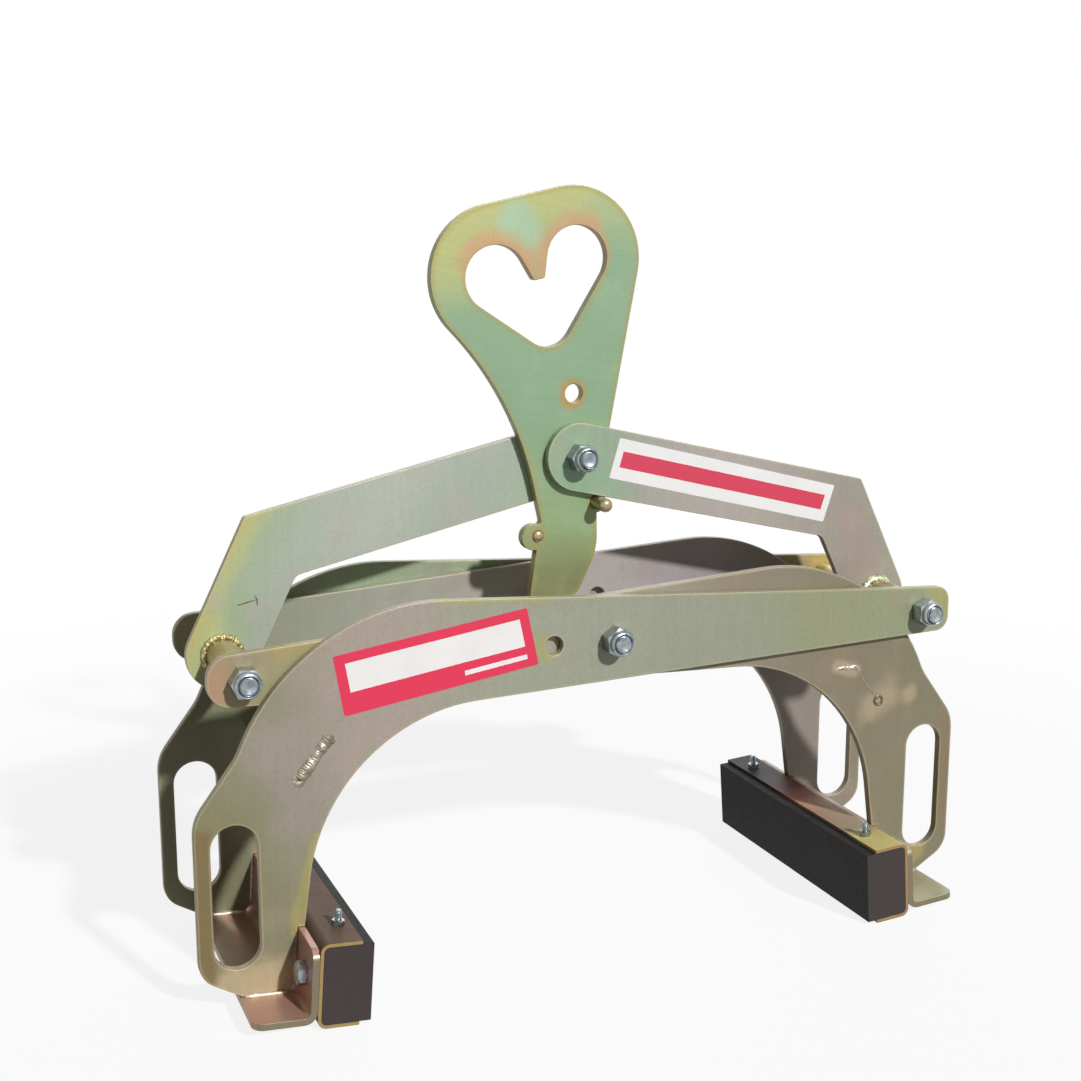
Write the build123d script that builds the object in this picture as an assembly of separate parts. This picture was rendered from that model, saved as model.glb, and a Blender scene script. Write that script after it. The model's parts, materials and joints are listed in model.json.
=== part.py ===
from build123d import *
from math import asin, atan2, cos, degrees, hypot, radians, sin, sqrt, tan
import os

# A kerb lifter, a scissor grab for kerb stones. Two jaws of flat plate cross at one pivot bolt. The outer
# jaw has its leg on the left, and the inner jaw, a mirror image between its plates, on the right. Two
# cranked links join the far ends of the jaws to a lifting plate, whose two stop pins bear on the links.
# Millimetres. X runs along the grip, Y from front to back and Z up from the floor.

# Bolt centres, seen from the front
pivot_z = 296.0  # main pivot above the floor
second_hole = 59.0  # from the pivot to the hole for the narrow setting
arm_reach = 333.0  # from the pivot to an end bolt, along X
end_drop = 4.0  # end bolts below the pivot
top_rise = 155.0  # top bolt above the pivot

# Plates, and how they stack from front to back
plate_t = 8.0  # arm plate
inner_gap = 150.0  # between the inner arms
side_play = 1.0  # between an inner and an outer arm
lift_t = 10.0  # lifting plate
link_t = 8.0
link_play = 0.3  # between the lifting plate, the links, the top nut and its washer
sleeve_play = 0.5  # between a sleeve's end and an arm
weld_gap = 0.2  # between pieces that are welded

# Outline of an arm
arm_tip = 30.8  # arm past its end bolt
tip_half = 21.5  # half the height of the tip
outer_tip_r = 14.0  # corners of the tip of an outer arm
inner_tip_r = 20.0
top_slope = 3.6  # degrees, rise of the top edge towards the leg
under_slope = 1.9  # degrees, fall of the lower edge towards the leg
leg_w = 86.5  # upright outer edge of a leg from the back of its pad
hump_r = 183.0
hump_slope = 67.0  # steep end of the hump
hump_pass = 1.3  # from that end's line to the corners of an end nut
waist_drop = 63.6  # foot of the hump below an end bolt
waist_r = 55.0
shoulder_slope = 53.3
shoulder_r = 40.0
arch_r = 160.0
leg_slope = 82.2  # inner edge of a leg
heel_z = 38.6  # bottom of the upright outer edge
heel_slope = 30.5
heel_r = 25.0

# Hand slot in a leg
slot_inset = 33.5  # slot's middle from the outer edge
slot_low = 43.0
slot_drop = 6.4  # slot's top below the shoulder
slot_w = 40.0

# Spreader plate between the arms of a jaw, laid along the arch
spreader_t = 8.0
spreader_w = 60.0
tab_w = 44.0  # tabs that pass through slots in the arms
spreader_set = 38.0  # out from the edge of the arch
spreader_turn = 140.0  # degrees round the arch

# Feet and pads, which lean inward at the top
pad_back = 295.0  # back of a pad channel from the middle, at its bottom
pad_lean = 4.0
pad_len = 288.0
channel_h = 75.0
channel_w = 36.0
channel_t = 3.0
channel_bend = 8.0  # outside radius
rubber_proud = 10.0  # rubber past the channel's flanges
rubber_gap = 0.2
foot_t = 6.0
foot_h = 64.5
foot_w = 54.0
foot_rise = 5.0  # foot above the bottom of the channel
foot_bend = 5.0  # inside radius
foot_corner_r = 10.0
foot_gap = 0.1  # between the foot and the channel bolted to it
bend_clear = 2.0  # leg clear of the bend in the foot

# Bolts that hold a channel to its foot
pad_bolt_d = 12.0
pad_bolt_af = 19.0
pad_bolt_head = 7.5
pad_nut_h = 10.0
pad_bolt_rise = 40.0
pad_bolt_inset = 26.0  # from the end of the pad
pad_bolt_out = 2.0  # thread past the nut

# Countersunk screws through channel and rubber
screw_d = 6.0
screw_head_d = 12.0
screw_sunk = 0.2  # head below the flange's face
screw_set = 24.0  # from the back of the channel
screw_inset = 36.0  # from the end of the pad
screw_nut_af = 10.0
screw_nut_h = 5.0
screw_out = 9.0  # thread past the nut

# Pivot, end and top bolts
bolt_d = 16.0
bolt_hole_d = 17.5
bolt_af = 24.0
bolt_head = 10.0
nut_h = 20.0
nut_hex_h = 14.5
nut_collar_d = 23.0
washer_d = 30.0
washer_t = 3.0
top_washer_d = 50.0  # behind the left link's wide hole
bolt_out = 2.0  # thread past the nut
thread_gap = 0.1
hole_gap = 0.5  # round pad bolts, their nuts and the screws
spacer_d = 27.0

# Cranked links
link_w = 64.0
limb_slope = 12.9  # upper limb below level
shank_slope = 64.0  # lower limb below level
link_outer_r = 5.0
link_inner_r = 10.0
sleeve_d = 30.0
link_float = 7.0  # room for the top bolt in the left link's hole

# Lifting plate, drawn upright about the top bolt
plate_lean = 12.7  # top to the left
lobe_x = 37.0
lobe_z = 177.0
lobe_r = 65.5
side_slope = 23.5  # straight right side, from upright
neck_x = 47.5
neck_z = -15.0
knee_x = 2.0
knee_z = -92.0
knee_slope = 11.6  # edge above the knee, from upright
knee_r = 60.0
tail_slope = 38.4  # edge below the knee, from upright
tail_left_slope = 21.0
tail_end_slope = 23.7  # end of the tail, from level
elbow_r = 12.0
tail_r = 16.0
tail_clear = 6.0  # tail clear of the pivot's spacer
spare_x = 10.3
spare_z = 57.5

# Eye of the lifting plate, a heart
eye_x = 40.3
eye_z = 177.0
eye_r = 29.5
eye_low_z = 131.0
eye_low_r = 26.0
tongue_z = 166.8
tongue_half = 6.4  # half the width of the tongue's end
tongue_r = 3.0

# Stop pins in the lifting plate
pin_play = 0.3  # between a pin and its link
pin_fit = 0.02
right_pin_d = 13.0
right_pin_along = 30.5  # along the link from the top bolt
right_pin_out = 25.0
right_lug_r = 10.0
left_pin_d = 11.0
left_pin_along = 73.4
left_pin_past = 6.0  # past the back of the left link
left_pin_out = 3.0  # past the front of the lifting plate
left_lug_r = 12.3
left_lug_out = 4.0  # lug's middle out from the pin
lug_neck_r = 3.0
stop_play = 22.2  # degrees that the plate turns from one stop to the other

# Values that follow from those above
inner_face = inner_gap / 2
inner_out = inner_face + plate_t
outer_face = inner_out + side_play
outer_out = outer_face + plate_t
link_face = lift_t / 2 + link_play
link_out = link_face + link_t
end_z = pivot_z - end_drop
top_z = pivot_z + top_rise
hole_r = bolt_hole_d / 2
leg_out = pad_back + leg_w
pad_base = channel_w * sin(radians(pad_lean))
foot_top = foot_rise + foot_h
in_dir = Vector(cos(radians(pad_lean)), 0, -sin(radians(pad_lean)))
up_dir = Vector(sin(radians(pad_lean)), 0, cos(radians(pad_lean)))


def crossing(p, p_angle, q, q_angle):
    """Where the line through p meets the line through q."""
    px, pz = cos(radians(p_angle)), sin(radians(p_angle))
    qx, qz = cos(radians(q_angle)), sin(radians(q_angle))
    along = ((q[0] - p[0]) * qz - (q[1] - p[1]) * qx) / (px * qz - pz * qx)
    return (p[0] + along * px, p[1] + along * pz)


def turned(point, angle):
    """A point turned about the origin, in degrees."""
    c, s = cos(radians(angle)), sin(radians(angle))
    return (point[0] * c - point[1] * s, point[0] * s + point[1] * c)


def half_turn_tan(before, corner, after):
    """Tangent of half the turn at a corner, which gives a fillet's reach from its radius."""
    a = Vector(*corner) - Vector(*before)
    b = Vector(*after) - Vector(*corner)
    return tan(radians(a.get_angle(b)) / 2)


def fitted(corners):
    """Points and radii of a closed outline, with each radius limited by the edges beside it."""
    points = [corner[0] for corner in corners]
    count = len(points)
    reach = []
    for i, (point, radius) in enumerate(corners):
        reach.append(radius * half_turn_tan(points[i - 1], point, points[(i + 1) % count]))
    share = [1.0] * count
    for i in range(count):
        j = (i + 1) % count
        room = hypot(points[j][0] - points[i][0], points[j][1] - points[i][1])
        used = reach[i] + reach[j]
        if used > room:
            share[i] = min(share[i], 0.99 * room / used)
            share[j] = min(share[j], 0.99 * room / used)
    return points, [radius * share[i] for i, (_, radius) in enumerate(corners)]


def rounded(corners):
    """Face with straight sides, from a list of a corner and its radius."""
    points, radii = fitted(corners)
    return make_face(FilletPolyline(*points, radius=radii, close=True).edges())


def disc(point, radius):
    """Round face at a point of X and Z."""
    return Pos(*point) * Circle(radius)


def slab(face, low, high):
    """Solid from a face drawn in X and Z, between two values of Y."""
    return extrude(Plane.XZ.offset(-high) * face, high - low, dir=(0, -1, 0))


def pad_point(inward, up, y=0):
    """Point on the left pad: inward from the back of its channel, and up from the channel's bottom."""
    return Vector(-pad_back, y, pad_base) + in_dir * inward + up_dir * up


def pad_corner(inward, up):
    """The same point in X and Z."""
    point = pad_point(inward, up)
    return (point.X, point.Z)


def along_pad(face, length):
    """Solid of a section drawn inward and up, along the pad."""
    frame = Plane(origin=pad_point(0, 0), x_dir=in_dir, z_dir=(0, -1, 0))
    return extrude(frame * face, length / 2, both=True)


def right(solid):
    """Mirror image for the other side."""
    return mirror(solid, about=Plane.YZ)


def gather(solids):
    """Separate solids of one node."""
    return Compound(children=list(solids))


# Arms

def outer_edge():
    """Waist and shoulder on the outer edge of an arm with its leg on the left."""
    past = turned((bolt_af / sqrt(3) + hump_pass, 0), hump_slope - 90)
    beside = (past[0] - arm_reach, past[1] + end_z)
    waist = crossing(beside, hump_slope, (0, end_z - waist_drop), 0)
    return waist, crossing(waist, shoulder_slope, (-leg_out, 0), 90)


def arm_corners(tip_r=outer_tip_r):
    """Corners of an arm with its leg on the left, clockwise from the top of its tip."""
    tip_x = arm_reach + arm_tip
    tip_top = (tip_x, end_z + tip_half)
    tip_low = (tip_x, end_z - tip_half)
    waist, shoulder = outer_edge()
    heel = (-leg_out, heel_z)
    seat = foot_rise + foot_t
    inner = pad_corner(0, foot_top + weld_gap)
    return [
        (tip_top, tip_r),
        (tip_low, tip_r),
        (crossing(tip_low, under_slope, inner, leg_slope), arch_r),
        (inner, 0),
        (pad_corner(-foot_t - weld_gap, foot_top + weld_gap), 0),
        (pad_corner(-foot_t - weld_gap, seat + foot_bend + bend_clear), 0),
        (pad_corner(-foot_t - foot_bend - bend_clear, seat + weld_gap), 0),
        (crossing(heel, -heel_slope, pad_corner(0, seat + weld_gap), -pad_lean), 0),
        (heel, heel_r),
        (shoulder, shoulder_r),
        (waist, waist_r),
        (crossing(waist, hump_slope, tip_top, -top_slope), hump_r),
    ]


def arch_centre(corners):
    """Middle and radius of the arch under an arm."""
    points, radii = fitted(corners)
    before, corner, after = (Vector(*point) for point in points[1:4])
    reach = radii[2] * half_turn_tan(points[1], points[2], points[3])
    middle = (before - corner).normalized() + (after - corner).normalized()
    centre = corner + middle.normalized() * hypot(reach, radii[2])
    return (centre.X, centre.Y), radii[2]


def spreader_place(corners):
    """Where the section of a spreader lies."""
    centre, radius = arch_centre(corners)
    out = turned((radius + spreader_set, 0), spreader_turn)
    return Pos(centre[0] + out[0], centre[1] + out[1]) * Rot(0, 0, spreader_turn - 90)


def arm_face(tip_r):
    """Arm with its holes, hand slot and the slot for the spreader's tab."""
    corners = arm_corners(tip_r)
    slot_top = outer_edge()[1][1] - slot_drop
    face = rounded(corners)
    for hole in ((0, pivot_z), (-second_hole, pivot_z), (arm_reach, end_z)):
        face -= disc(hole, hole_r)
    hand = Pos(slot_inset - leg_out, (slot_low + slot_top) / 2)
    face -= hand * Rot(0, 0, 90) * SlotOverall(slot_top - slot_low, slot_w)
    face -= spreader_place(corners) * Rectangle(tab_w + 2 * weld_gap, spreader_t + 2 * weld_gap)
    return face


def spreader(reach):
    """Spreader between two arms whose inner faces are at y = reach and y = -reach."""
    place = spreader_place(arm_corners())
    plate = slab(place * Rectangle(spreader_w, spreader_t), -reach, reach)
    tabs = slab(place * Rectangle(tab_w, spreader_t), -reach - plate_t, reach + plate_t)
    return plate + tabs


# Fasteners, drawn along their axis from the face that the head or nut bears on

def prism(across_flats, height):
    """Six-sided bar."""
    return extrude(RegularPolygon(across_flats / 2, 6, major_radius=False), height)


def hex_bolt(diameter, reach, across_flats, head):
    """Bolt with its head below the face."""
    return Pos(0, 0, -head) * prism(across_flats, head) + extrude(Circle(diameter / 2), reach)


def plain_nut(diameter, across_flats, height):
    """Plain six-sided nut."""
    return prism(across_flats, height) - extrude(Circle(diameter / 2 + thread_gap), height)


def lock_nut():
    """Nut with the round collar of its locking ring."""
    nut = prism(bolt_af, nut_hex_h) + extrude(Circle(nut_collar_d / 2), nut_h)
    return nut - extrude(Circle(bolt_d / 2 + thread_gap), nut_h)


def ring(point, diameter, low, high):
    """Washer, spacer or sleeve that takes a bolt."""
    return slab(disc(point, diameter / 2) - disc(point, hole_r), low, high)


def bolt_set(name, point, seat, rear_washer_d):
    """Bolt with its head and a washer behind, and its lock nut in front."""
    head = Plane(origin=(point[0], seat + washer_t, point[1]), x_dir=(1, 0, 0), z_dir=(0, -1, 0))
    front = Plane(origin=(point[0], -seat, point[1]), x_dir=(1, 0, 0), z_dir=(0, -1, 0))
    reach = 2 * seat + washer_t + nut_h + bolt_out
    return {
        name + "_bolt": head * hex_bolt(bolt_d, reach, bolt_af, bolt_head),
        name + "_nut": front * lock_nut(),
        name + "_washer": ring(point, rear_washer_d, seat, seat + washer_t),
    }


# Feet and pads, made for the left jaw

pad_bolt_ys = [side * (pad_len / 2 - pad_bolt_inset) for side in (-1, 1)]
screw_ys = [side * (pad_len / 2 - screw_inset) for side in (-1, 1)]
channel_face = foot_gap  # back of the channel, inward from the foot
rubber_back = channel_face + channel_t + rubber_gap
rubber_face = channel_face + channel_w + rubber_proud


def pad_bolt_frames(inward):
    """Frames on the axes of the pad bolts, pointing inward."""
    return [Plane(pad_point(inward, pad_bolt_rise, y), z_dir=in_dir) for y in pad_bolt_ys]


def screw_frames(up):
    """Frames on the axes of the screws, pointing up the pad."""
    return [Plane(pad_point(channel_face + screw_set, up, y), z_dir=up_dir) for y in screw_ys]


def pad_bolt_reach():
    """Length of a pad bolt under its head."""
    return foot_t + channel_face + channel_t + pad_nut_h + pad_bolt_out


def screw(grown):
    """Countersunk screw from its head upwards, or the room for it."""
    depth = (screw_head_d - screw_d) / 2
    height = channel_h - screw_sunk + screw_nut_h + screw_out
    head = Cone(screw_head_d / 2 + grown, screw_d / 2 + grown, depth, align=(Align.CENTER, Align.CENTER, Align.MIN))
    return head + extrude(Circle(screw_d / 2 + grown), height)


def screw_room():
    """Room for the screws in the channel and the rubber, open below."""
    mouth = extrude(Circle(screw_head_d / 2 + hole_gap), -2 * screw_sunk)
    return [frame * (screw(hole_gap) + mouth) for frame in screw_frames(screw_sunk)]


def foot():
    """Folded plate with its upright behind the channel and its sole outwards."""
    low = foot_rise
    section = rounded([
        ((0, low), foot_bend + foot_t),
        ((0, foot_top), 0),
        ((-foot_t, foot_top), 0),
        ((-foot_t, low + foot_t), foot_bend),
        ((-foot_w, low + foot_t), 0),
        ((-foot_w, low), 0),
    ])
    solid = along_pad(section, pad_len)
    free_ends = [edge for edge in solid.edges() if abs(edge.length - foot_t) < weld_gap]
    solid = fillet(free_ends, foot_corner_r)
    for frame in pad_bolt_frames(-foot_t):
        solid -= frame * Cylinder(pad_bolt_d / 2 + hole_gap, 4 * foot_t)
    return solid


def channel():
    """Folded channel that holds the rubber."""
    inside = channel_bend - channel_t
    flange_end = channel_face + channel_w
    section = rounded([
        ((channel_face, 0), channel_bend),
        ((channel_face, channel_h), channel_bend),
        ((flange_end, channel_h), 0),
        ((flange_end, 0), 0),
    ])
    section -= rounded([
        ((channel_face + channel_t, channel_t), inside),
        ((channel_face + channel_t, channel_h - channel_t), inside),
        ((rubber_face, channel_h - channel_t), 0),
        ((rubber_face, channel_t), 0),
    ])
    solid = along_pad(section, pad_len)
    for frame in pad_bolt_frames(0):
        solid -= frame * Cylinder(pad_bolt_d / 2 + hole_gap, 4 * channel_t)
    for room in screw_room():
        solid -= room
    return solid


def rubber():
    """Rubber block with pockets at its back for the pad nuts."""
    low = channel_t + rubber_gap
    high = channel_h - channel_t - rubber_gap
    back_r = channel_bend - channel_t
    section = rounded([
        ((rubber_back, low), back_r),
        ((rubber_back, high), back_r),
        ((rubber_face, high), rubber_gap),
        ((rubber_face, low), rubber_gap),
    ])
    solid = along_pad(section, pad_len)
    pocket_r = pad_bolt_af / sqrt(3) + hole_gap
    pocket = pad_nut_h + pad_bolt_out + hole_gap
    for frame in pad_bolt_frames(channel_face + channel_t):
        solid -= frame * extrude(Circle(pocket_r), pocket)
    for room in screw_room():
        solid -= room
    return solid


def pad_set():
    """Everything at the foot of the left jaw, by the names of the pieces."""
    bolt = hex_bolt(pad_bolt_d, pad_bolt_reach(), pad_bolt_af, pad_bolt_head)
    nut = plain_nut(pad_bolt_d, pad_bolt_af, pad_nut_h)
    screw_nut = plain_nut(screw_d, screw_nut_af, screw_nut_h)
    return {
        "foot": foot(),
        "pad_channel": channel(),
        "rubber_pad": rubber(),
        "pad_bolts": gather(frame * bolt for frame in pad_bolt_frames(-foot_t)),
        "pad_nuts": gather(frame * nut for frame in pad_bolt_frames(channel_face + channel_t)),
        "pad_screws": gather(frame * screw(0) for frame in screw_frames(screw_sunk)),
        "pad_screw_nuts": gather(frame * screw_nut for frame in screw_frames(channel_h)),
    }


# Links

def link_face_right():
    """Right link without its holes: two straight limbs that meet at a crank."""
    top, end = (0, top_z), (arm_reach, end_z)
    half = link_w / 2
    over = turned((0, half), -limb_slope)
    beyond = turned((0, half), -shank_slope)
    top_over, top_under = (over[0], top_z + over[1]), (-over[0], top_z - over[1])
    end_over = (arm_reach + beyond[0], end_z + beyond[1])
    end_under = (arm_reach - beyond[0], end_z - beyond[1])
    face = rounded([
        (top_over, 0),
        (crossing(top_over, -limb_slope, end_over, -shank_slope), link_outer_r),
        (end_over, 0),
        (end_under, 0),
        (crossing(top_under, -limb_slope, end_under, -shank_slope), link_inner_r),
        (top_under, 0),
    ])
    face += disc(top, half) + disc(end, half)
    return face - disc(end, sleeve_d / 2 + weld_gap)


def link(low, high, top_hole_r):
    """Right link as a plate between two values of Y."""
    return slab(link_face_right() - disc((0, top_z), top_hole_r), low, high)


def sleeve(face):
    """Tube welded in the right link's lower end, between arms whose inner faces are given."""
    reach = face - sleeve_play
    return ring((arm_reach, end_z), sleeve_d, -reach, reach)


# Lifting plate, about the top bolt

def beside_link(along, pin_r):
    """Pin below the upper limb of the right link, from the top bolt."""
    return turned((along, -link_w / 2 - pin_r - pin_play), -limb_slope)


def right_pin_point():
    """Right stop pin in the upright plate: it bears on the right link."""
    return turned(beside_link(right_pin_along, right_pin_d / 2), -plate_lean)


def left_pin_point():
    """Left stop pin in the upright plate: it is the free play away from the left link."""
    touch = beside_link(left_pin_along, left_pin_d / 2)
    return turned((-touch[0], touch[1]), stop_play - plate_lean)


def eye_face():
    """Heart-shaped eye: two round lobes and a round foot, with a tongue between the lobes."""
    lobes = disc((-eye_x, eye_z), eye_r) + disc((eye_x, eye_z), eye_r)
    heart = make_hull(lobes.edges() + disc((0, eye_low_z), eye_low_r).edges())
    corner = (tongue_half - tongue_r, tongue_z + tongue_r)
    aside, over = eye_x - corner[0], eye_z - corner[1]
    lean = 90 - degrees(atan2(over, aside) + asin((eye_r + tongue_r) / hypot(aside, over)))
    reach = turned((eye_r, 0), lean)
    root = (eye_x - reach[0], eye_z + reach[1])
    ends = disc(corner, tongue_r).edges() + disc((-corner[0], corner[1]), tongue_r).edges()
    tongue = make_hull(ends + [Edge.make_line((-root[0], root[1]), root)])
    above = Pos(0, root[1] + eye_r) * Rectangle(2 * eye_x, 2 * eye_r) - lobes
    return heart - above - tongue


def lifting_face():
    """Outline of the lifting plate with its eye and holes, upright."""
    left_pin, right_pin = left_pin_point(), right_pin_point()
    down = 90 - side_slope
    side_top = (lobe_x + lobe_r * cos(radians(side_slope)), lobe_z - lobe_r * sin(radians(side_slope)))
    knee = (knee_x, knee_z)
    kink = crossing(side_top, down, knee, 90 - knee_slope)
    pivot = turned((0, -top_rise), -plate_lean)
    away = turned((0, spacer_d / 2 + tail_clear), tail_end_slope)
    end_line = (pivot[0] + away[0], pivot[1] + away[1])
    elbow = crossing(knee, 90 - tail_slope, end_line, tail_end_slope)
    tail = crossing(end_line, tail_end_slope, left_pin, 90 - tail_left_slope)
    neck = (-neck_x, neck_z)
    past = neck_x - lobe_x
    rise = lobe_z - neck_z
    neck_r = (past**2 + rise**2 - lobe_r**2) / (2 * (lobe_r - past))
    sweep = degrees(atan2(rise, neck_r + past))
    lower = FilletPolyline(
        side_top, kink, knee, elbow, tail, left_pin, (-neck_x, left_pin[1]), neck,
        radius=[0, knee_r, elbow_r, tail_r, 0, 0],
    )
    face = make_face([
        Line((-lobe_x, lobe_z + lobe_r), (lobe_x, lobe_z + lobe_r)),
        CenterArc((lobe_x, lobe_z), lobe_r, -side_slope, 90 + side_slope),
        *lower.edges(),
        CenterArc((-neck_x - neck_r, neck_z), neck_r, 0, sweep),
        CenterArc((-lobe_x, lobe_z), lobe_r, 90, 90 + sweep),
    ])
    lug = (left_pin[0] - left_lug_out, left_pin[1])
    face += disc(lug, left_lug_r) + disc(right_pin, right_lug_r)
    notch_z = lug[1] + sqrt(left_lug_r**2 - (lug[0] + neck_x) ** 2)
    notch = face.vertices().sort_by_distance((-neck_x, notch_z, 0))[0]
    face = fillet(notch, lug_neck_r)
    face -= disc((0, 0), hole_r) + disc((spare_x, spare_z), hole_r) + eye_face()
    face -= disc(left_pin, left_pin_d / 2 + pin_fit) + disc(right_pin, right_pin_d / 2 + pin_fit)
    return face


def leaning(face):
    """A face drawn upright about the top bolt, put in its place."""
    return Pos(0, top_z) * Rot(0, 0, plate_lean) * face


# All pieces by name

nodes = {}
outer_arm = arm_face(outer_tip_r)
inner_arm = mirror(arm_face(inner_tip_r), about=Plane.YZ)
nodes["outer_arm_front"] = slab(outer_arm, -outer_out, -outer_face)
nodes["outer_arm_rear"] = slab(outer_arm, outer_face, outer_out)
nodes["outer_spreader"] = spreader(outer_face)
nodes["inner_arm_front"] = slab(inner_arm, -inner_out, -inner_face)
nodes["inner_arm_rear"] = slab(inner_arm, inner_face, inner_out)
nodes["inner_spreader"] = right(spreader(inner_face))
for piece, solid in pad_set().items():
    nodes["left_" + piece] = solid
    nodes["right_" + piece] = right(solid)
nodes["right_link"] = link(-link_out, -link_face, hole_r)
nodes["right_link_sleeve"] = sleeve(outer_face)
nodes["left_link"] = right(link(link_face, link_out, bolt_d / 2 + link_float))
nodes["left_link_sleeve"] = right(sleeve(inner_face))
nodes["lifting_plate"] = slab(leaning(lifting_face()), -lift_t / 2, lift_t / 2)
right_pin_face = leaning(disc(right_pin_point(), right_pin_d / 2))
left_pin_face = leaning(disc(left_pin_point(), left_pin_d / 2))
nodes["right_stop_pin"] = slab(right_pin_face, -lift_t / 2 - right_pin_out, lift_t / 2)
nodes["left_stop_pin"] = slab(left_pin_face, -lift_t / 2 - left_pin_out, link_out + left_pin_past)
nodes["pivot_spacer"] = ring((0, pivot_z), spacer_d, sleeve_play - inner_face, inner_face - sleeve_play)
nodes.update(bolt_set("pivot", (0, pivot_z), outer_out, washer_d))
nodes.update(bolt_set("right_end", (arm_reach, end_z), outer_out, washer_d))
nodes.update(bolt_set("left_end", (-arm_reach, end_z), inner_out, washer_d))
nodes.update(bolt_set("top", (0, top_z), link_out + link_play, top_washer_d))

os.makedirs("parts", exist_ok=True)
for name, solid in nodes.items():
    export_step(solid, f"parts/{name}.step")
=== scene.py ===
# %% [markdown]
# # A kerb lifter in Blender
# The CAD model gives the frame: arms, links, pads and bolts that move on their joints. This lesson dresses
# it. Every visible piece is a CAD node with a finish, or a finer mesh that stands for one and rides on its
# body.

# %% Load the frame
import json
from functools import partial
from math import cos, pi, radians, sin, tan

import bmesh
import bpy
import numpy as np
from mathutils import Euler, Matrix, Vector
from mathutils.geometry import delaunay_2d_cdt


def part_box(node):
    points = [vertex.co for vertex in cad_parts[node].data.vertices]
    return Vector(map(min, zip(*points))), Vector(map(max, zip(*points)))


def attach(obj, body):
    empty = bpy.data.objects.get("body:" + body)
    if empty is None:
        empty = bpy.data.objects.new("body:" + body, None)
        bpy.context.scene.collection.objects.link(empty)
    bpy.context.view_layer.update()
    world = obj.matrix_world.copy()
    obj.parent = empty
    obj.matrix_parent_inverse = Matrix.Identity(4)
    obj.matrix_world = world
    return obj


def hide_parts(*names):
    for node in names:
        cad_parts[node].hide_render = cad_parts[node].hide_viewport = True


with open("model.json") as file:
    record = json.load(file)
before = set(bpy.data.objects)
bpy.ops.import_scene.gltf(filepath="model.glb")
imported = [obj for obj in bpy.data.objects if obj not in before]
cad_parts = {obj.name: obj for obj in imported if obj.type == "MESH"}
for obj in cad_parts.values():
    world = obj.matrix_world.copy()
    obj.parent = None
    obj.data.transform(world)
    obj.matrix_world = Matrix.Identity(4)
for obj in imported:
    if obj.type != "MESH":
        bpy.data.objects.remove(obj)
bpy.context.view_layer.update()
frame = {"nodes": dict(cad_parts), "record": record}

MM = 0.001
scene = bpy.context.scene
body_of = {n: body for body, members in frame["record"]["behaviour"]["bodies"].items() for n in members}
slot_of = {part["node"]: part["material_slot"] for part in frame["record"]["subparts"]}

# %% [markdown]
# ## Small tools
# A colour is written as the hex value that a screen shows, and one function turns it to the linear light
# that the renderer works in. One more function adds a node to any tree: its settings, its values and the
# links that feed it. Some inputs go by number: a Map Range has its value at 0, the range it comes from at 1
# and 2 and the range it goes to at 3 and 4, and a Mix has its share at 0 and its colours at 6 and 7.

# %% Colours and nodes
MATH, RANGE, MIX, NOISE = "ShaderNodeMath", "ShaderNodeMapRange", "ShaderNodeMix", "ShaderNodeTexNoise"


def srgb(code):
    """Linear colour from an sRGB hex value."""
    parts = [int(code[i:i + 2], 16) / 255 for i in (0, 2, 4)]
    return tuple(p / 12.92 if p <= 0.04045 else ((p + 0.055) / 1.055) ** 2.4 for p in parts) + (1.0,)


def feed(made, inputs):
    """Gives a node its inputs, which are values or the outputs of other nodes to link."""
    for key, value in inputs.items():
        if isinstance(value, bpy.types.NodeSocket):
            made.id_data.links.new(value, made.inputs[key])
        else:
            made.inputs[key].default_value = value


def set_stops(ramp, stops):
    """Fills a colour ramp from places and their hex values."""
    while len(ramp.elements) < len(stops):
        ramp.elements.new(0.5)
    for element, (place, code) in zip(ramp.elements, stops.items()):
        element.position = place
        element.color = srgb(code)
    ramp.interpolation = "EASE"


def node(tree, kind, inputs=None, out=0, stops=None, **settings):
    """One output of a new node. Only a colour ramp has stops."""
    made = tree.nodes.new(kind)
    for key, value in settings.items():
        setattr(made, key, value)
    feed(made, inputs or {})
    if stops:
        set_stops(made.color_ramp, stops)
    return made.outputs[out] if made.outputs else None


def new_material(name):
    """New material, the function that adds nodes to it, its shader and its Object coordinates."""
    material = bpy.data.materials.new(name)
    material.use_nodes = True
    add = partial(node, material.node_tree)
    return material, add, material.node_tree.nodes["Principled BSDF"], add("ShaderNodeTexCoord", out="Object")


print("a mid grey in linear light", [round(v, 3) for v in srgb("808080")[:3]])

# %% [markdown]
# ## Yellow passivated zinc
# The plates are laser-cut steel, zinc plated and dipped in a yellow chromate. The film is thin enough to
# show interference colours, so one plate drifts from sea green through olive to taupe, and turns gold where
# the film is thicker, which is along every cut edge. The drift could be painted, but it follows simple
# rules: a slow change along the plate, clouds a hand wide, and the distance from the edge, which each plate
# carries as an attribute.

# %% Finish of the plates
CLOUD = 150 * MM  # size of the slow clouds in the film
PATCH = 38 * MM  # smaller stains from draining
STREAK = 5 * MM  # width of the rolling streaks, drawn about five times too wide so that they show
GRAIN = 1.6 * MM  # crystals of the zinc, about 0.2 mm on the real plate and drawn coarser so that they show
MOST = {1: 0.3, 2: 0.7}  # most of a noise lies in this range
SOFT = {"interpolation_type": "SMOOTHSTEP"}
COLOURS = {"data_type": "RGBA", "out": 2}  # for a Mix of colours


def facing_y(add, low, high):
    """How far a surface faces along Y, from 0 at the low slope to 1 at the high one."""
    facing = add("ShaderNodeSeparateXYZ", {0: add("ShaderNodeNewGeometry", out="Normal")}, out="Y")
    facing = add(MATH, {0: facing}, operation="ABSOLUTE")
    return add(RANGE, {0: facing, 1: low, 2: high}, **SOFT)


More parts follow.
